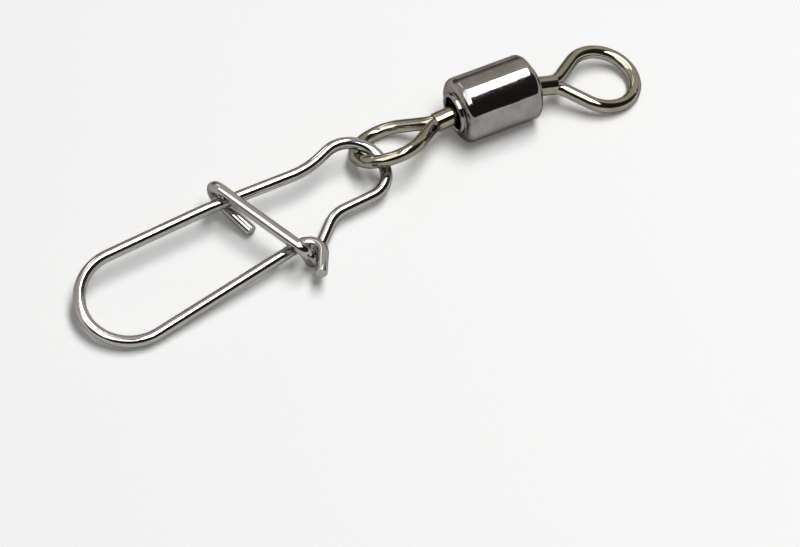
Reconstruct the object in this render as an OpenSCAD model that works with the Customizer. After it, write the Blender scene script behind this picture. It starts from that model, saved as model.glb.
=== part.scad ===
// Rolling swivel with a wire snap, lying on a flat surface as it comes to rest.
// Origin: centre of the line eye's opening. +X runs along the barrel away from the snap, +Z is up.
// Lengths are in millimetres, angles in degrees.

/* [Barrel] */
// Outer diameter of the barrel
barrel_d = 4.5; // [4:0.1:6]
// Length of the barrel between its end faces
barrel_l = 5.5; // [5:0.1:8]
// Thickness of the barrel's side wall
barrel_wall = 0.45; // [0.3:0.05:0.6]
// Thickness of the rolled-in ends
end_t = 0.45; // [0.3:0.05:0.6]
// Outside radius of the shoulder where the wall turns in
shoulder_r = 0.5; // [0.4:0.05:0.8]
// How far the rim round each end hole stands out of the end face
rim_out = 0.3; // [0.2:0.02:0.4]
// Thickness of that rim
rim_t = 0.3; // [0.24:0.02:0.4]

/* [Eyes] */
// Diameter of the wire that both eyes are bent from
eye_wire = 0.89; // [0.7:0.01:1]
// Clear opening of each eye
eye_opening = 3.79; // [3.4:0.05:5]
// Diameter of the round shank that the two strands are pressed into
shank_d = 1.32; // [1.2:0.02:1.4]
// Length of the pressed shank in front of the head
shank_l = 2.7; // [2.4:0.05:3.2]
// How far inside the shank's end the strands begin to part
flare_in = 0.53; // [0.4:0.01:0.6]
// Bend radius where the strands part behind the eye
flare_r = 1.7; // [1.2:0.1:2.5]
// Angle at which the strands run out to the eye
flare_a = 42; // [36:1:50]
// Diameter of the head inside the barrel
head_d = 2.9; // [2.7:0.05:3]
// Thickness of the head
head_t = 0.45; // [0.3:0.05:0.6]
// Radial play of the shank in the barrel's end hole
shank_play = 0.44; // [0.4:0.01:0.48]
// Play between a tilted head and the barrel's end
head_play = 0.05; // [0.03:0.01:0.1]

/* [Eyes at rest] */
// Droop of the line eye, which ends with its tip on the surface
line_droop = 11.6; // [8:0.1:14]
// Sideways lean of the line eye
line_yaw = -6.3; // [-8:0.1:8]
// Roll of the line eye about its own shank
line_roll = 8.5; // [-10:0.5:10]
// Droop of the snap eye, which the snap holds up
snap_eye_droop = 6.5; // [4:0.1:8]
// Sideways lean of the snap eye
snap_eye_yaw = 0.5; // [-3:0.1:3]
// Roll of the snap eye about its own shank
snap_eye_roll = 26; // [22:0.5:30]
// How far the snap eye is pushed into the barrel
snap_eye_push = 0.3; // [0:0.05:0.4]

/* [Snap] */
// Diameter of the snap's spring wire
snap_wire = 0.8; // [0.7:0.01:0.9]
// Gap between snap wires that cross
cross_gap = 0.05; // [0.03:0.01:0.1]
// Gap between the snap's wire and the eye's wire where they are linked
link_gap = 0.38; // [0.2:0.02:0.5]
// Distance from the eye's tip back to the far corner of the big loop
loop_reach = 20.85; // [18:0.05:26]
// Width of the big loop, between wire centres
loop_w = 7.1; // [6.5:0.1:8]
// Bend radius of the big loop at the long leg
loop_r_far = 3.5; // [3:0.05:3.6]
// Bend radius of the big loop at the short leg
loop_r_near = 3.14; // [2.8:0.02:3.3]
// How far the loop's corner at the short leg lies further back
loop_skew = 1.8; // [1:0.1:2.2]
// Sideways offset of the long leg from the eye's tip
long_leg_y = 0.36; // [0.2:0.02:0.6]
// Outward bow of the long leg at the crossbar
leg_bow = 0.29; // [0:0.01:0.4]
// Distance from the eye's tip back to where the crossbar wraps the long leg
bar_back = 9.9; // [9:0.1:11]
// How far the crossbar's turn stands out past the long leg
bar_out = 1.55; // [1.4:0.05:1.8]
// How far the crossbar's end keeps back from there
turn_lean = 0.35; // [0.3:0.01:0.4]
// Slant of the crossbar's turn towards the eye
turn_slant = 0.3; // [0.2:0.02:0.4]
// How far the crossbar climbs for each millimetre across
bar_slope = 0.146; // [0.1:0.002:0.18]
// How far the crossbar slants towards the eye on its way across
bar_slant = 2.5; // [2.2:0.02:2.8]
// Distance across from the eye's tip to the corner under the short leg
corner_y = 5.75; // [5.55:0.05:5.95]
// Run of the corner along the snap on its way down
corner_run = 0.74; // [0.6:0.02:0.86]
// How far the corner's foot stands out past its top
corner_lean = 0.09; // [0.04:0.01:0.2]
// Length of the crossbar's tail under the long leg
tail_l = 3.4; // [2.5:0.1:3.8]
// Slant of the tail towards the eye
tail_slant = 0.9; // [0.5:0.05:1.2]
// Room between the tail and the long leg above it
tail_drop = 0.35; // [0.3:0.01:0.4]
// How far the tail climbs to its end
tail_rise = 0.05; // [0:0.01:0.1]
// Bend radius of the crossbar's turn round the long leg
turn_r = 0.88; // [0.8:0.01:0.92]
// Bend radius of the corner under the short leg
corner_r = 0.64; // [0.5:0.01:0.7]
// How far the short leg climbs from the loop to its hook
hook_rise = 0.58; // [0.5:0.02:0.8]
// Distance from the eye's tip back to the hook's corner
hook_back = 5.06; // [4.8:0.02:5.2]
// Distance across from the eye's tip to the hook's corner
hook_y = 4.37; // [4.2:0.02:4.5]
// Bend radius of the hook
hook_r = 0.95; // [0.85:0.01:1.05]
// Length of the hook's leg past its corner
hook_l = 3.68; // [3.2:0.02:4]
// Angle of the hook's leg across the snap
hook_a = 56.5; // [53:0.5:62]
// How far the hook's leg climbs to its end
hook_tip_rise = 0.65; // [0.5:0.05:0.8]
// Width of the small eye, between wire centres
small_eye_w = 4.49; // [4.3:0.01:4.8]

/* [Snap at rest] */
// Roll, pitch and yaw of the snap as it lies
snap_roll = 11.98; // [10:0.02:14]
snap_pitch = -0.17; // [-2:0.01:2]
snap_yaw = 3.7; // [0:0.1:6]

/* [Hidden] */

// Facets of a wire and of a turned surface in the preview
wire_fn = 48;
turned_fn = 96;
// A straight run of wire reaches this far into a bend, whose wire is thicker by bend_swell
lap = 0.02;
bend_swell = 0.004;

end_hole_r = shank_d / 2 + shank_play;
cavity_r = barrel_d / 2 - barrel_wall;

// Eyes: the loop turns on loop_r about a centre that the flared strands are tangent to
loop_r = (eye_opening + eye_wire) / 2;
// In the shank both strands lie this far under its surface
strand_cover = 0.02;
strand_y = (shank_d - eye_wire) / 2 - strand_cover;
flare_x = shank_l - flare_in + flare_r * tan(flare_a / 2);
loop_x = flare_x + (loop_r - strand_y * cos(flare_a)) / sin(flare_a);
loop_corners = 3;
loop_turn = (180 + 2 * flare_a) / loop_corners;

line_dir = aim(line_droop, line_yaw);
snap_eye_dir = aim(snap_eye_droop, 180 - snap_eye_yaw);
// A pulled-out head sits where the most tilted one clears the barrel's end
head_x = barrel_l / 2 - end_t - head_d / 2 * sin(max(tilt(line_dir), tilt(snap_eye_dir))) - head_play;
line_head = [head_x, 0, 0];
snap_eye_head = [snap_eye_push - head_x, 0, 0];
// Everything is first placed about the barrel's centre, then moved so that the line eye is the origin
line_centre = line_head + line_dir * loop_x;
// The snap swings about the wire at the tip of its eye
swing_at = snap_eye_head + snap_eye_dir * (loop_x + loop_r);

// Snap: levels above the plane of the long leg and the loop, where wires pass over or under each other
pass = snap_wire + cross_gap;
// The ring at the eye's tip lies below that plane
swing_level = -0.59;
link_r = (eye_wire + snap_wire) / 2 + link_gap;
link_pass = (eye_wire + snap_wire) / 2 + cross_gap;
// The small eye passes under the ring's raised side and over its tip
ring_side = sqrt(pow(loop_r, 2) - pow(loop_r - link_r, 2));
under_ring_level = swing_level + ring_side * sin(snap_eye_roll + snap_roll) - link_pass;
over_ring_level = swing_level + link_pass;
small_eye_near_y = -3.14;
small_eye_near = [0.51, small_eye_near_y, under_ring_level];
small_eye_near_r = 1.8;
small_eye_front = [link_r + link_gap, -0.51, under_ring_level];
small_eye_front_r = 2.12;
small_eye_far = [-0.61, small_eye_near_y + small_eye_w, over_ring_level];
small_eye_far_r = 2.3;
small_eye_back = [-3.63, long_leg_y, 0];
small_eye_back_r = 6;

// Long leg, bowed where the crossbar wraps it
bow_y = long_leg_y + leg_bow;
bow_back = bar_back + 0.9;
bow_r = 30;
short_leg_y = long_leg_y - loop_w;

// Crossbar: its turn stands on the outside of the long leg, its tail lies under that leg
wrap_y = bow_y + bar_out - turn_lean;
bar_level = pass - bar_slope * (wrap_y - bow_y);
bar_end_level = bar_level + bar_slope * (wrap_y + corner_y);
tail_level = -pass - tail_drop;
turn_top = [-bar_back, wrap_y, bar_level];
turn_foot = [-bar_back + turn_slant, wrap_y, tail_level];
tail_end = [turn_foot[0] + tail_slant, wrap_y - tail_l, tail_level + tail_rise];

// Corner down round the short leg, then under the hook to the small eye
under_level = hook_rise - pass;
corner_top = [-bar_back + bar_slant, -corner_y, bar_end_level];
corner_foot = [corner_top[0] + corner_run, -corner_y - corner_lean, under_level];
kink = [-3.62, -3.24, under_level];
kink_r = 2.3;

// Hook at the end of the short leg, turned over the wire under it
hook = [-hook_back, -hook_y, hook_rise];
hook_tip = hook + [-hook_l * cos(hook_a), -hook_l * sin(hook_a), hook_tip_rise];

// Corners of the snap's wire with their bend radii, from the tail's end to the hook's end
snap_path = [
    [tail_end, 0],
    [turn_foot, turn_r],
    [turn_top, turn_r],
    [corner_top, corner_r],
    [corner_foot, corner_r],
    [kink, kink_r],
    [small_eye_near, small_eye_near_r],
    [small_eye_front, small_eye_front_r],
    [small_eye_far, small_eye_far_r],
    [small_eye_back, small_eye_back_r],
    [[-bow_back, bow_y, 0], bow_r],
    [[-loop_reach, long_leg_y, 0], loop_r_far],
    [[-loop_reach - loop_skew, short_leg_y, 0], loop_r_near],
    [hook, hook_r],
    [hook_tip, 0]
];

// Direction of a shank that droops below level and is turned about the vertical
function aim(droop, yaw) = [cos(droop) * cos(yaw), cos(droop) * sin(yaw), -sin(droop)];
// Angle between a direction and the barrel's axis
function tilt(v) = acos(abs(v[0]));
function unit(v) = v / norm(v);
// Angle by which a path turns at b
function turn(a, b, c) = acos(unit(b - a) * unit(c - b));
// Length that the bend at corner i takes off the straight run on each side
function cut_back(path, i) = (i == 0 || i == len(path) - 1) ? 0
    : path[i][1] * tan(turn(path[i - 1][0], path[i][0], path[i + 1][0]) / 2);
// How far the straight run reaches past its end at corner i
function reach(path, i) = (i == 0 || i == len(path) - 1) ? 0 : lap;

// Puts its children into the frame with axes x, y, z at o
module in_frame(x, y, z, o)
    multmatrix([[x[0], y[0], z[0], o[0]], [x[1], y[1], z[1], o[1]], [x[2], y[2], z[2], o[2]]])
        children();

// Straight wire from a to b
module straight(a, b, d) {
    z = unit(b - a);
    x = unit(cross(z, abs(z[2]) < 0.9 ? [0, 0, 1] : [1, 0, 0]));
    in_frame(x, cross(z, x), z, a)
        cylinder(d = d, h = norm(b - a), $fn = wire_fn);
}

// Wire bent to radius r where the path a, b, c turns
module bend(a, b, c, r, d) {
    u = unit(b - a);
    angle = turn(a, b, c);
    n = unit(cross(u, c - b));
    x = cross(u, n);
    start = b - u * r * tan(angle / 2);
    in_frame(x, u, n, start - x * r)
        rotate_extrude(angle = angle, $fn = turned_fn)
            translate([r, 0]) circle(d = d, $fn = wire_fn);
}

// Wire of diameter d along a list of [corner, bend radius]
module bent_wire(path, d)
    union() {
        for (i = [0 : len(path) - 2]) {
            u = unit(path[i + 1][0] - path[i][0]);
            straight(path[i][0] + u * (cut_back(path, i) - reach(path, i)),
                path[i + 1][0] - u * (cut_back(path, i + 1) - reach(path, i + 1)), d);
        }
        for (i = [1 : len(path) - 2])
            bend(path[i - 1][0], path[i][0], path[i + 1][0], path[i][1], d + bend_swell);
    }

// An eye: head face at the origin, shank along +X, loop in the XY plane
module eye() {
    loop_corner_r = loop_r / cos(loop_turn / 2);
    first = 90 + flare_a - loop_turn / 2;
    path = concat(
        [[[shank_l / 2, strand_y, 0], 0], [[flare_x, strand_y, 0], flare_r]],
        [for (i = [0 : loop_corners - 1])
            let (a = first - i * loop_turn)
                [[loop_x + loop_corner_r * cos(a), loop_corner_r * sin(a), 0], loop_r]],
        [[[flare_x, -strand_y, 0], flare_r], [[shank_l / 2, -strand_y, 0], 0]]
    );
    union() {
        bent_wire(path, eye_wire);
        rotate([0, 90, 0]) {
            translate([0, 0, -head_t / 2])
                cylinder(d = shank_d, h = shank_l + head_t / 2, $fn = turned_fn);
            translate([0, 0, -head_t]) cylinder(d = head_d, h = head_t, $fn = turned_fn);
        }
    }
}

// Half section of the barrel in the plane of its axis
module barrel_section() {
    flat_r = barrel_d / 2 - shoulder_r;
    rim_r = end_hole_r + rim_t / 2;
    rim_from = barrel_l / 2 - end_t + rim_t / 2;
    rim_to = barrel_l / 2 + rim_out - rim_t / 2;
    difference() {
        union() {
            translate([0, -barrel_l / 2 + shoulder_r])
                square([barrel_d / 2, barrel_l - 2 * shoulder_r]);
            translate([0, -barrel_l / 2]) square([flat_r, barrel_l]);
            for (side = [-1, 1])
                translate([flat_r, side * (barrel_l / 2 - shoulder_r)])
                    circle(r = shoulder_r, $fn = turned_fn);
        }
        translate([0, -barrel_l / 2 + end_t]) square([cavity_r, barrel_l - 2 * end_t]);
        translate([0, -barrel_l]) square([rim_r, 2 * barrel_l]);
    }
    for (side = [-1, 1]) {
        translate([rim_r, side * (rim_from + rim_to) / 2])
            square([rim_t, rim_to - rim_from], center = true);
        for (level = [rim_from, rim_to])
            translate([rim_r, side * level]) circle(d = rim_t, $fn = turned_fn);
    }
}

module barrel()
    color([0.32, 0.30, 0.28])
        translate(-line_centre) rotate([0, 90, 0])
            rotate_extrude($fn = turned_fn) barrel_section();

module line_eye()
    color([0.36, 0.33, 0.28])
        translate(line_head - line_centre)
            rotate([line_roll, line_droop, line_yaw]) eye();

module snap_eye()
    color([0.36, 0.33, 0.28])
        translate(snap_eye_head - line_centre)
            rotate([snap_eye_roll, snap_eye_droop, 180 - snap_eye_yaw]) eye();

module snap()
    color([0.62, 0.61, 0.58])
        translate(swing_at - line_centre)
            rotate([snap_roll, snap_pitch, snap_yaw])
                translate([0, 0, -swing_level]) bent_wire(snap_path, snap_wire);

barrel();
line_eye();
snap_eye();
snap();
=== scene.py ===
import math

import bmesh
import bpy
import numpy as np
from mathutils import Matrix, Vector


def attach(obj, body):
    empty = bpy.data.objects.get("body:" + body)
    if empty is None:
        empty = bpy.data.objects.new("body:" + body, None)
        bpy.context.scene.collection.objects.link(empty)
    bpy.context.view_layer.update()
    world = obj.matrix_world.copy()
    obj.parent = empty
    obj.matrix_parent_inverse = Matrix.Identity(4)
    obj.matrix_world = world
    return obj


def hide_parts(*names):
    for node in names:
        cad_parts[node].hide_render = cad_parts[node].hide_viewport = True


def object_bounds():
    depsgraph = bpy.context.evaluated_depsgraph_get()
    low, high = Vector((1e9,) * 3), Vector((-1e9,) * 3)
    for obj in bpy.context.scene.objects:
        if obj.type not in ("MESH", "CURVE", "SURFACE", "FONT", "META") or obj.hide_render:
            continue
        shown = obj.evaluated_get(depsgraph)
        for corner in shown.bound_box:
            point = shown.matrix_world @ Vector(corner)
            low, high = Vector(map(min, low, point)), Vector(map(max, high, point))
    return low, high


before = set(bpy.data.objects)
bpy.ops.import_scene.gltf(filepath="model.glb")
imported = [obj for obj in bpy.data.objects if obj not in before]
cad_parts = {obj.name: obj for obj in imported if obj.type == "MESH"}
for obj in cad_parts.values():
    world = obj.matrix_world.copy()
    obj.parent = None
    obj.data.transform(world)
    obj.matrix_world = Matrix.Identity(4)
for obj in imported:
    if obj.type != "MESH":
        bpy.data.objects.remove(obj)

cad_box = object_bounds()
MM = 0.001

# Sizes of the part in millimetres, as its source has them
BARREL_D = 4.5
BARREL_L = 5.5
BARREL_WALL = 0.45
END_T = 0.45
SHOULDER_R = 0.5
RIM_OUT = 0.3
RIM_T = 0.3
EYE_WIRE = 0.89
EYE_OPENING = 3.79
SHANK_D = 1.32
SHANK_L = 2.7
FLARE_IN = 0.53
FLARE_R = 1.7
FLARE_A = 42
HEAD_D = 2.9
HEAD_T = 0.45
SHANK_PLAY = 0.44
HEAD_PLAY = 0.05
STRAND_COVER = 0.02
SNAP_EYE_PUSH = 0.3
LINE_EYE_AIM = (8.5, 11.6, -6.3)
SNAP_EYE_AIM = (26, 6.5, 179.5)
SNAP_WIRE = 0.8
CROSS_GAP = 0.05
LINK_GAP = 0.38
LOOP_REACH = 20.85
LOOP_W = 7.1
LOOP_SKEW = 1.8
LONG_LEG_Y = 0.36
LEG_BOW = 0.29
BAR_BACK = 9.9
BAR_OUT = 1.55
TURN_LEAN = 0.35
TURN_SLANT = 0.3
BAR_SLOPE = 0.146
BAR_SLANT = 2.5
CORNER_Y = 5.75
CORNER_RUN = 0.74
CORNER_LEAN = 0.09
TAIL_L = 3.4
TAIL_SLANT = 0.9
TAIL_DROP = 0.35
TAIL_RISE = 0.05
HOOK_RISE = 0.58
HOOK_BACK = 5.06
HOOK_Y = 4.37
HOOK_L = 3.68
HOOK_A = 56.5
HOOK_TIP_RISE = 0.65
SMALL_EYE_W = 4.49
SWING_LEVEL = -0.59
SNAP_AIM = (11.98, -0.17, 3.7)


# Frames and rotations
def rotation(aim):
    x, y, z = (math.radians(a) for a in aim)
    cx, sx, cy, sy, cz, sz = math.cos(x), math.sin(x), math.cos(y), math.sin(y), math.cos(z), math.sin(z)
    about_x = np.array([[1, 0, 0], [0, cx, -sx], [0, sx, cx]])
    about_y = np.array([[cy, 0, sy], [0, 1, 0], [-sy, 0, cy]])
    about_z = np.array([[cz, -sz, 0], [sz, cz, 0], [0, 0, 1]])
    return about_z @ about_y @ about_x


def unit(v):
    return v / np.linalg.norm(v)


def tilt(direction):
    return math.acos(abs(direction[0]))


loop_r = (EYE_OPENING + EYE_WIRE) / 2
strand_y = (SHANK_D - EYE_WIRE) / 2 - STRAND_COVER
flare_rad = math.radians(FLARE_A)
flare_x = SHANK_L - FLARE_IN + FLARE_R * math.tan(flare_rad / 2)
loop_x = flare_x + (loop_r - strand_y * math.cos(flare_rad)) / math.sin(flare_rad)
line_turn = rotation(LINE_EYE_AIM)
snap_eye_turn = rotation(SNAP_EYE_AIM)
line_dir = line_turn @ [1, 0, 0]
snap_eye_dir = snap_eye_turn @ [1, 0, 0]
most_tilt = max(tilt(line_dir), tilt(snap_eye_dir))
head_x = BARREL_L / 2 - END_T - HEAD_D / 2 * math.sin(most_tilt) - HEAD_PLAY
line_centre = np.array([head_x, 0, 0]) + line_dir * loop_x
barrel_at = -line_centre
line_head = np.array([head_x, 0, 0]) - line_centre
snap_eye_head = np.array([SNAP_EYE_PUSH - head_x, 0, 0]) - line_centre
swing_at = snap_eye_head + snap_eye_dir * (loop_x + loop_r)


def snap_corners():
    """Corners and bend radii of the snap's wire, from the tail's end to the hook's end."""
    over = SNAP_WIRE + CROSS_GAP
    link_r = (EYE_WIRE + SNAP_WIRE) / 2 + LINK_GAP
    link_pass = (EYE_WIRE + SNAP_WIRE) / 2 + CROSS_GAP
    ring_side = math.sqrt(loop_r ** 2 - (loop_r - link_r) ** 2)
    under_ring = SWING_LEVEL + ring_side * math.sin(math.radians(SNAP_EYE_AIM[0] + SNAP_AIM[0])) - link_pass
    over_ring = SWING_LEVEL + link_pass
    bow_y = LONG_LEG_Y + LEG_BOW
    short_leg_y = LONG_LEG_Y - LOOP_W
    wrap_y = bow_y + BAR_OUT - TURN_LEAN
    bar_level = over - BAR_SLOPE * (wrap_y - bow_y)
    bar_end_level = bar_level + BAR_SLOPE * (wrap_y + CORNER_Y)
    tail_level = -over - TAIL_DROP
    under_level = HOOK_RISE - over
    hook_rad = math.radians(HOOK_A)
    return [
        ((-BAR_BACK + TURN_SLANT + TAIL_SLANT, wrap_y - TAIL_L, tail_level + TAIL_RISE), 0),
        ((-BAR_BACK + TURN_SLANT, wrap_y, tail_level), 0.88),
        ((-BAR_BACK, wrap_y, bar_level), 0.88),
        ((-BAR_BACK + BAR_SLANT, -CORNER_Y, bar_end_level), 0.64),
        ((-BAR_BACK + BAR_SLANT + CORNER_RUN, -CORNER_Y - CORNER_LEAN, under_level), 0.64),
        ((-3.62, -3.24, under_level), 2.3),
        ((0.51, -3.14, under_ring), 1.8),
        ((link_r + LINK_GAP, -0.51, under_ring), 2.12),
        ((-0.61, -3.14 + SMALL_EYE_W, over_ring), 2.3),
        ((-3.63, LONG_LEG_Y, 0), 6),
        ((-BAR_BACK - 0.9, bow_y, 0), 30),
        ((-LOOP_REACH, LONG_LEG_Y, 0), 3.5),
        ((-LOOP_REACH - LOOP_SKEW, short_leg_y, 0), 3.14),
        ((-HOOK_BACK, -HOOK_Y, HOOK_RISE), 0.95),
        ((-HOOK_BACK - HOOK_L * math.cos(hook_rad), -HOOK_Y - HOOK_L * math.sin(hook_rad),
          HOOK_RISE + HOOK_TIP_RISE), 0),
    ]


def eye_corners():
    """Corners and bend radii of an eye's wire, from one strand's end to the other's."""
    loop_turn = (180 + 2 * FLARE_A) / 3
    corner_r = loop_r / math.cos(math.radians(loop_turn / 2))
    first = 90 + FLARE_A - loop_turn / 2
    loop = []
    for i in range(3):
        a = math.radians(first - i * loop_turn)
        loop.append(((loop_x + corner_r * math.cos(a), corner_r * math.sin(a), 0), loop_r))
    inside = SHANK_L / 2
    return ([((inside, strand_y, 0), 0), ((flare_x, strand_y, 0), FLARE_R)] + loop
            + [((flare_x, -strand_y, 0), FLARE_R), ((inside, -strand_y, 0), 0)])


def centre_line(corners, arc_step=4.0, run_step=1.2):
    """Points along a path of straight runs and bends, each with its tangent."""
    points, tangents = [np.array(corners[0][0], float)], []
    tangents.append(unit(np.array(corners[1][0], float) - points[0]))
    for k in range(1, len(corners) - 1):
        a, b, c = (np.array(corners[m][0], float) for m in (k - 1, k, k + 1))
        r = corners[k][1]
        u, v = unit(b - a), unit(c - b)
        angle = math.acos(float(np.clip(u @ v, -1, 1)))
        start = b - u * r * math.tan(angle / 2)
        inward = np.cross(unit(np.cross(u, v)), u)
        steps = max(2, math.ceil(math.degrees(angle) / arc_step))
        runs = max(1, int(np.linalg.norm(start - points[-1]) / run_step))
        for q in range(1, runs):
            points.append(points[-1] + (start - points[-1]) / (runs - q + 1))
            tangents.append(u)
        for q in range(steps + 1):
            f = angle * q / steps
            points.append(start + inward * r * (1 - math.cos(f)) + u * r * math.sin(f))
            tangents.append(u * math.cos(f) + inward * math.sin(f))
    end = np.array(corners[-1][0], float)
    runs = max(1, int(np.linalg.norm(end - points[-1]) / run_step))
    for q in range(runs):
        points.append(points[-1] + (end - points[-1]) / (runs - q))
        tangents.append(v)
    return np.array(points), np.array(tangents)


# Mesh making: every builder returns vertices in mm, faces and a (u, v) in mm for each face corner
def closed_wire(corners, d, sides=40, edge=0.06, arc_step=4.0):
    """The wire as one closed mesh: rings, a small round edge and a flat face at each end."""
    points, tangents = centre_line(corners, arc_step)
    along = np.concatenate([[0], np.cumsum(np.linalg.norm(np.diff(points, axis=0), axis=1))])
    side = unit(np.cross(tangents[0], [0.13, 0.21, 0.97]))
    angles = np.linspace(0, 2 * math.pi, sides, endpoint=False)
    centres, axes, sides_at, radii, at = [], [], [], [], []

    def put(c, t, s, r, a):
        centres.append(c)
        axes.append(t)
        sides_at.append(s)
        radii.append(r)
        at.append(a)

    rounding = [math.radians(a) for a in (0, 30, 60, 90)]
    for i in range(len(points)):
        t = tangents[i]
        side = unit(side - t * (side @ t))
        if i == 0:
            for a in rounding:
                put(points[0] + t * edge * (1 - math.sin(a)), t, side, d / 2 - edge * (1 - math.cos(a)), 0.0)
            order = slice(None, None, -1)
            centres[:] = centres[order]
            radii[:] = radii[order]
        elif i == len(points) - 1:
            for a in rounding:
                put(points[-1] - t * edge * (1 - math.sin(a)), t, side, d / 2 - edge * (1 - math.cos(a)), along[-1])
        else:
            put(points[i], t, side, d / 2, along[i])
    verts, faces, uvs = [], [], []
    for c, t, s, r in zip(centres, axes, sides_at, radii):
        up = np.cross(t, s)
        verts.extend(c + r * (math.cos(a) * s + math.sin(a) * up) for a in angles)
    girth = math.pi * d
    for k in range(len(centres) - 1):
        for j in range(sides):
            j2 = (j + 1) % sides
            faces.append((k * sides + j, k * sides + j2, (k + 1) * sides + j2, (k + 1) * sides + j))
            v0, v1 = girth * j / sides, girth * (j + 1) / sides
            uvs.extend([(at[k], v0), (at[k], v1), (at[k + 1], v1), (at[k + 1], v0)])
    last = (len(centres) - 1) * sides
    faces.append(tuple(range(sides - 1, -1, -1)))
    uvs.extend((0.1 * math.cos(a), 0.1 * math.sin(a)) for a in angles)
    faces.append(tuple(range(last, last + sides)))
    uvs.extend((0.1 * math.cos(a), 0.1 * math.sin(a)) for a in angles)
    return np.array(verts), faces, uvs


def lathe(profile, sides=128):
    """A closed ring turned about +X from (x, r) points that go round the section."""
    count = len(profile)
    verts, faces, uvs = [], [], []
    for j in range(sides):
        a = 2 * math.pi * j / sides
        verts.extend((x, r * math.cos(a), r * math.sin(a)) for x, r in profile)
    lengths = [0.0]
    for k in range(count):
        a, b = profile[k], profile[(k + 1) % count]
        lengths.append(lengths[-1] + math.dist(a, b))
    girth = math.pi * 2 * max(r for _, r in profile)
    for j in range(sides):
        for k in range(count):
            j2, k2 = (j + 1) % sides, (k + 1) % count
            faces.append((j * count + k, j * count + k2, j2 * count + k2, j2 * count + k))
            v0, v1 = girth * j / sides, girth * (j + 1) / sides
            uvs.extend([(lengths[k], v0), (lengths[k + 1], v0), (lengths[k + 1], v1), (lengths[k], v1)])
    return np.array(verts), faces, uvs


def spindle(profile, sides=64):
    """A solid turned about +X from (x, r) points, closed by a flat face at each end."""
    verts, faces, uvs = [], [], []
    count = len(profile)
    for x, r in profile:
        for j in range(sides):
            a = 2 * math.pi * j / sides
            verts.append((x, r * math.cos(a), r * math.sin(a)))
    girth = math.pi * 2 * max(r for _, r in profile)
    at = 0.0
    for k in range(count - 1):
        step = math.dist(profile[k], profile[k + 1])
        for j in range(sides):
            j2 = (j + 1) % sides
            faces.append((k * sides + j, (k + 1) * sides + j, (k + 1) * sides + j2, k * sides + j2))
            v0, v1 = girth * j / sides, girth * (j + 1) / sides
            uvs.extend([(at, v0), (at + step, v0), (at + step, v1), (at, v1)])
        at += step
    last = (count - 1) * sides
    faces.append(tuple(range(sides)))
    uvs.extend([(0.0, 0.0)] * sides)
    faces.append(tuple(range(last + sides - 1, last - 1, -1)))
    uvs.extend([(at, 0.0)] * sides)
    return np.array(verts), faces, uvs


def arc(cx, cr, radius, start, stop, steps):
    """Points on a circle about (cx, cr), from one angle to another, in degrees."""
    found = []
    for k in range(steps + 1):
        a = math.radians(start + (stop - start) * k / steps)
        found.append((cx + radius * math.cos(a), cr + radius * math.sin(a)))
    return found


def piece(name, parts, turn, at, body, node, material):
    """Joins parts into one smooth-shaded mesh, puts it in the row frame and lets it stand for a node."""
    verts, faces, uvs = [], [], []
    for v, f, t in parts:
        base = len(verts)
        verts.extend(map(tuple, (v @ np.asarray(turn).T + at) * MM))
        faces.extend(tuple(base + i for i in face) for face in f)
        uvs.extend(t)
    mesh = bpy.data.meshes.new(name)
    mesh.from_pydata(verts, [], faces)
    layer = mesh.uv_layers.new(name="UVMap")
    layer.data.foreach_set("uv", np.array(uvs, np.float32).ravel())
    mesh.validate()
    shell = bmesh.new()
    shell.from_mesh(mesh)
    bmesh.ops.recalc_face_normals(shell, faces=shell.faces)
    shell.to_mesh(mesh)
    shell.free()
    mesh.shade_smooth()
    mesh.set_sharp_from_angle(angle=math.radians(35))
    o = bpy.data.objects.new(name, mesh)
    bpy.context.scene.collection.objects.link(o)
    mesh.materials.append(material)
    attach(o, body)
    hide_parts(node)
    return o


# Materials
def material(name):
    m = bpy.data.materials.new(name)
    m.use_nodes = True
    m.node_tree.nodes.clear()
    return m, m.node_tree.nodes, m.node_tree.links


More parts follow.
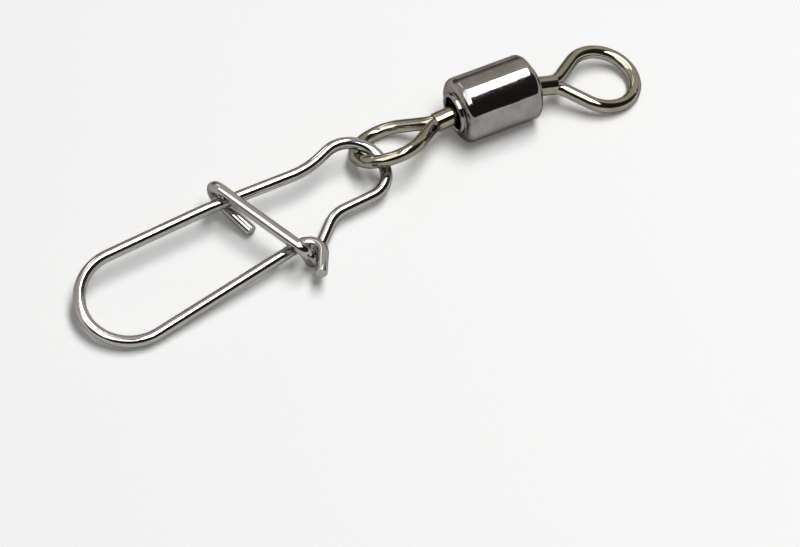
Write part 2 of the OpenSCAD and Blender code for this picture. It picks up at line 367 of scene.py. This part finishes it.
def metal(name, light, dark, rough, grain, wave, draw_scale):
    """Plated metal: cloudy tone, fine drawing lines along the surface and soft waves that bend reflections."""
    m, nodes, links = material(name)
    out = nodes.new("ShaderNodeOutputMaterial")
    shader = nodes.new("ShaderNodeBsdfPrincipled")
    shader.inputs["Metallic"].default_value = 1.0
    shader.inputs["Specular Tint"].default_value = (0.4, 0.38, 0.36, 1)
    links.new(shader.outputs["BSDF"], out.inputs["Surface"])
    uv = nodes.new("ShaderNodeTexCoord")
    stretch = nodes.new("ShaderNodeMapping")
    stretch.inputs["Scale"].default_value = draw_scale
    links.new(uv.outputs["UV"], stretch.inputs["Vector"])
    lines = nodes.new("ShaderNodeTexNoise")
    lines.inputs["Scale"].default_value = 1.0
    lines.inputs["Detail"].default_value = 3.0
    links.new(stretch.outputs["Vector"], lines.inputs["Vector"])
    clouds = nodes.new("ShaderNodeTexNoise")
    clouds.inputs["Scale"].default_value = 900.0
    clouds.inputs["Detail"].default_value = 4.0
    links.new(uv.outputs["Object"], clouds.inputs["Vector"])
    tone = nodes.new("ShaderNodeMix")
    tone.data_type = "RGBA"
    tone.inputs["A"].default_value = (*dark, 1)
    tone.inputs["B"].default_value = (*light, 1)
    spread = nodes.new("ShaderNodeMapRange")
    spread.inputs["From Min"].default_value = 0.3
    spread.inputs["From Max"].default_value = 0.7
    links.new(clouds.outputs["Fac"], spread.inputs["Value"])
    links.new(spread.outputs["Result"], tone.inputs["Factor"])
    links.new(tone.outputs["Result"], shader.inputs["Base Color"])
    gloss = nodes.new("ShaderNodeMapRange")
    gloss.inputs["From Min"].default_value = 0.3
    gloss.inputs["From Max"].default_value = 0.7
    gloss.inputs["To Min"].default_value = rough[0]
    gloss.inputs["To Max"].default_value = rough[1]
    links.new(lines.outputs["Fac"], gloss.inputs["Value"])
    links.new(gloss.outputs["Result"], shader.inputs["Roughness"])
    soft = nodes.new("ShaderNodeTexNoise")
    soft.inputs["Scale"].default_value = 1400.0
    soft.inputs["Detail"].default_value = 1.0
    links.new(uv.outputs["Object"], soft.inputs["Vector"])
    swell = nodes.new("ShaderNodeBump")
    swell.inputs["Strength"].default_value = 1.0
    swell.inputs["Distance"].default_value = wave
    links.new(soft.outputs["Fac"], swell.inputs["Height"])
    fine = nodes.new("ShaderNodeBump")
    fine.inputs["Strength"].default_value = 1.0
    fine.inputs["Distance"].default_value = grain
    links.new(lines.outputs["Fac"], fine.inputs["Height"])
    links.new(swell.outputs["Normal"], fine.inputs["Normal"])
    links.new(fine.outputs["Normal"], shader.inputs["Normal"])
    return m


barrel_metal = metal("dark_nickel_barrel", (0.31, 0.295, 0.285), (0.22, 0.205, 0.20), (0.05, 0.10),
                     0.0000012, 0.000004, (0.8, 14.0, 1.0))
eye_metal = metal("dark_nickel_eye", (0.34, 0.315, 0.265), (0.25, 0.23, 0.185), (0.05, 0.11),
                  0.0000008, 0.000005, (0.7, 16.0, 1.0))
snap_steel = metal("bright_spring_wire", (0.40, 0.395, 0.38), (0.33, 0.325, 0.315), (0.05, 0.11),
                   0.0000007, 0.000003, (0.5, 16.0, 1.0))


# Barrel: a tube with rolled-in rounded ends
def barrel_profile():
    half, outer, rim = BARREL_L / 2, BARREL_D / 2, RIM_T / 2
    rim_r = SHANK_D / 2 + SHANK_PLAY + rim
    cavity = outer - BARREL_WALL
    flat_r = outer - SHOULDER_R
    right = [(half - SHOULDER_R - 0.02, outer)] + arc(half - SHOULDER_R, flat_r, SHOULDER_R, 90, 0, 14)
    right += arc(half + 0.06, rim_r + rim + 0.06, 0.06, 180, 270, 4)
    right += arc(half + RIM_OUT - rim, rim_r, rim, 90, -90, 12)
    right += arc(half - END_T + rim, rim_r, rim, -90, -180, 8)
    right += [(half - END_T, rim_r + 0.02), (half - END_T, cavity - 0.1), (half - END_T - 0.1, cavity)]
    left = [(-x, r) for x, r in reversed(right)]
    return right[::-1] + left[::-1]


snap_turn = rotation(SNAP_AIM)
barrel = piece("barrel_shell", [lathe(barrel_profile())], np.eye(3), barrel_at, "barrel", "barrel",
               barrel_metal)


def eye_parts():
    soft = 0.07
    shank = [(-HEAD_T / 2, SHANK_D / 2), (SHANK_L - soft - 0.02, SHANK_D / 2)]
    shank += [(x, r) for x, r in arc(SHANK_L - soft, SHANK_D / 2 - soft, soft, 90, 0, 6)]
    head = arc(-HEAD_T + soft, HEAD_D / 2 - soft, soft, 180, 90, 4) + arc(-soft, HEAD_D / 2 - soft, soft, 90, 0, 4)
    return [closed_wire(eye_corners(), EYE_WIRE), spindle(shank), spindle(head)]


line_eye = piece("line_eye_wire", eye_parts(), line_turn, line_head, "line_eye", "line_eye", eye_metal)
snap_eye = piece("snap_eye_wire", eye_parts(), snap_eye_turn, snap_eye_head, "snap_eye", "snap_eye",
                 eye_metal)
snap_level = swing_at - snap_turn @ np.array([0, 0, SWING_LEVEL])
snap = piece("snap_wire", [closed_wire(snap_corners(), SNAP_WIRE, 40)], snap_turn, snap_level,
             "snap", "snap", snap_steel)


# Floor: white, with the part's shadow on it
def seen_rays(nodes, links):
    """1 for camera, glossy and transmission rays, 0 for the rest."""
    path = nodes.new("ShaderNodeLightPath")
    first = nodes.new("ShaderNodeMath")
    first.operation = "MAXIMUM"
    links.new(path.outputs["Is Camera Ray"], first.inputs[0])
    links.new(path.outputs["Is Glossy Ray"], first.inputs[1])
    both = nodes.new("ShaderNodeMath")
    both.operation = "MAXIMUM"
    links.new(first.outputs["Value"], both.inputs[0])
    links.new(path.outputs["Is Transmission Ray"], both.inputs[1])
    return both.outputs["Value"]


def floor_material():
    m, nodes, links = material("white_floor")
    out = nodes.new("ShaderNodeOutputMaterial")
    diffuse = nodes.new("ShaderNodeBsdfDiffuse")
    diffuse.inputs["Color"].default_value = (0.95, 0.95, 0.945, 1)
    lift = nodes.new("ShaderNodeEmission")
    scale = nodes.new("ShaderNodeMath")
    scale.operation = "MULTIPLY"
    scale.inputs[1].default_value = 0.07
    links.new(seen_rays(nodes, links), scale.inputs[0])
    links.new(scale.outputs["Value"], lift.inputs["Strength"])
    add = nodes.new("ShaderNodeAddShader")
    links.new(diffuse.outputs["BSDF"], add.inputs[0])
    links.new(lift.outputs["Emission"], add.inputs[1])
    links.new(add.outputs["Shader"], out.inputs["Surface"])
    return m


def stage_object(name, verts, faces, mat):
    mesh = bpy.data.meshes.new(name)
    mesh.from_pydata(verts, [], faces)
    mesh.materials.append(mat)
    o = bpy.data.objects.new(name, mesh)
    bpy.context.scene.collection.objects.link(o)
    return o


FLOOR_R = 4.0
floor_z = cad_box[0].z
rim = [(FLOOR_R * math.cos(a), FLOOR_R * math.sin(a), floor_z) for a in np.linspace(0, 2 * math.pi, 64, endpoint=False)]
floor = stage_object("floor", rim, [tuple(range(64))], floor_material())

# Studio: a glowing tent over the part that only reflections see, painted reflection that is dark at the front with a
# bright band at the back, open at the horizon, and a strip light under it
middle = Vector((-0.0185, -0.002, 0))


def tent_material():
    m, nodes, links = material("studio_tent")
    out = nodes.new("ShaderNodeOutputMaterial")
    glow = nodes.new("ShaderNodeEmission")
    coord = nodes.new("ShaderNodeTexCoord")
    split = nodes.new("ShaderNodeSeparateXYZ")
    links.new(coord.outputs["Object"], split.inputs["Vector"])
    ramp = nodes.new("ShaderNodeValToRGB")
    shift = nodes.new("ShaderNodeMapRange")
    shift.inputs["From Min"].default_value = -1.0
    shift.inputs["From Max"].default_value = 1.0
    links.new(split.outputs["Y"], shift.inputs["Value"])
    links.new(shift.outputs["Result"], ramp.inputs["Fac"])
    # Painted reflection: the glow is near black towards the front and a bright band towards the back, seen only in the
    # metal's reflections
    stops = ramp.color_ramp.elements
    stops[0].position, stops[0].color = 0.0, (0.03, 0.028, 0.026, 1)
    stops[1].position, stops[1].color = 1.0, (0.15, 0.135, 0.12, 1)
    for at, colour in ((0.40, (0.035, 0.031, 0.029, 1)), (0.50, (0.12, 0.11, 0.10, 1)),
                       (0.60, (0.86, 0.81, 0.76, 1)), (0.92, (0.72, 0.67, 0.60, 1)), (0.97, (0.15, 0.135, 0.12, 1))):
        e = stops.new(at)
        e.color = colour
    links.new(ramp.outputs["Color"], glow.inputs["Color"])
    links.new(glow.outputs["Emission"], out.inputs["Surface"])
    return m


def tent():
    low_front, low_back, rows, around, radius = 11, 1, 24, 48, 1.0
    verts, faces = [], []
    for i in range(rows):
        for a in np.linspace(0, 2 * math.pi, around, endpoint=False):
            low = low_front + (low_back - low_front) * (0.5 + 0.5 * math.sin(a))
            e = math.radians(low + (90 - low) * i / rows)
            verts.append((radius * math.cos(e) * math.cos(a), radius * math.cos(e) * math.sin(a), radius * math.sin(e)))
    verts.append((0, 0, radius))
    for i in range(rows - 1):
        for j in range(around):
            k = (j + 1) % around
            faces.append((i * around + j, i * around + k, (i + 1) * around + k, (i + 1) * around + j))
    faces.extend((((rows - 1) * around + j), (rows - 1) * around + (j + 1) % around, rows * around) for j in range(around))
    o = stage_object("studio_tent", verts, faces, tent_material())
    o.location = middle
    o.visible_camera = False
    o.visible_diffuse = False
    o.visible_shadow = False
    o.visible_volume_scatter = False
    return o


tent()


def strip_light(name, at, target, size, radiance):
    lamp = bpy.data.lights.new(name, "AREA")
    lamp.shape = "RECTANGLE"
    lamp.size, lamp.size_y = size
    lamp.energy = radiance * math.pi * size[0] * size[1]
    o = bpy.data.objects.new(name, lamp)
    bpy.context.scene.collection.objects.link(o)
    o.location = at
    o.rotation_euler = (Vector(target) - Vector(at)).to_track_quat("-Z", "Y").to_euler()
    o.visible_camera = False
    return o


def reflected_card(name, at, facing, size, radiance):
    """A bright card that only reflections see."""
    m, nodes, links = material(name)
    out = nodes.new("ShaderNodeOutputMaterial")
    glow = nodes.new("ShaderNodeEmission")
    glow.inputs["Strength"].default_value = radiance
    links.new(glow.outputs["Emission"], out.inputs["Surface"])
    w, h = size[0] / 2, size[1] / 2
    o = stage_object(name, [(-w, -h, 0), (w, -h, 0), (w, h, 0), (-w, h, 0)], [(0, 1, 2, 3)], m)
    o.location = middle + Vector(at)
    o.rotation_euler = Vector(facing).to_track_quat("Z", "Y").to_euler()
    o.visible_camera = False
    o.visible_diffuse = False
    o.visible_shadow = False
    o.visible_volume_scatter = False
    return o


strip_light("overhead_strip", (middle.x + 0.10, middle.y - 0.035, 0.42), (middle.x, middle.y, 0), (0.40, 0.13), 10.0)
reflected_card("back_card", (0.0, 0.56, 0.56), (0, 1, 1), (0.10, 0.40), 3.0)
reflected_card("left_card", (-0.30, -0.06, 0.48), (0, 0, 1), (0.56, 0.46), 3.5)

world = bpy.data.worlds.new("studio")
bpy.context.scene.world = world
world.use_nodes = True
world.node_tree.nodes.clear()
w_nodes, w_links = world.node_tree.nodes, world.node_tree.links
w_out = w_nodes.new("ShaderNodeOutputWorld")
w_back = w_nodes.new("ShaderNodeBackground")
w_level = w_nodes.new("ShaderNodeMapRange")
w_level.inputs["To Min"].default_value = 0.15
w_level.inputs["To Max"].default_value = 1.0
w_links.new(seen_rays(w_nodes, w_links), w_level.inputs["Value"])
w_links.new(w_level.outputs["Result"], w_back.inputs["Strength"])
w_back.inputs["Color"].default_value = (1, 1, 1, 1)
w_links.new(w_back.outputs["Background"], w_out.inputs["Surface"])

# Camera at the photograph's angle
CAM_AZIMUTH = -27
CAM_ELEVATION = 49
CAM_FROM_BARREL = np.array([-78.31, -140.15, 166.93])
cam_data = bpy.data.cameras.new("camera")
cam_data.lens = 157.5
cam_data.sensor_width = 36
cam_data.clip_start = 0.01
camera = bpy.data.objects.new("camera", cam_data)
bpy.context.scene.collection.objects.link(camera)
camera.location = Vector((barrel_at + CAM_FROM_BARREL) * MM)
az, el = math.radians(CAM_AZIMUTH), math.radians(CAM_ELEVATION)
back = Vector((math.sin(az) * math.cos(el), -math.cos(az) * math.cos(el), math.sin(el)))
camera.rotation_euler = (-back).to_track_quat("-Z", "Y").to_euler()
bpy.context.scene.camera = camera
bpy.context.scene.view_settings.view_transform = "Standard"
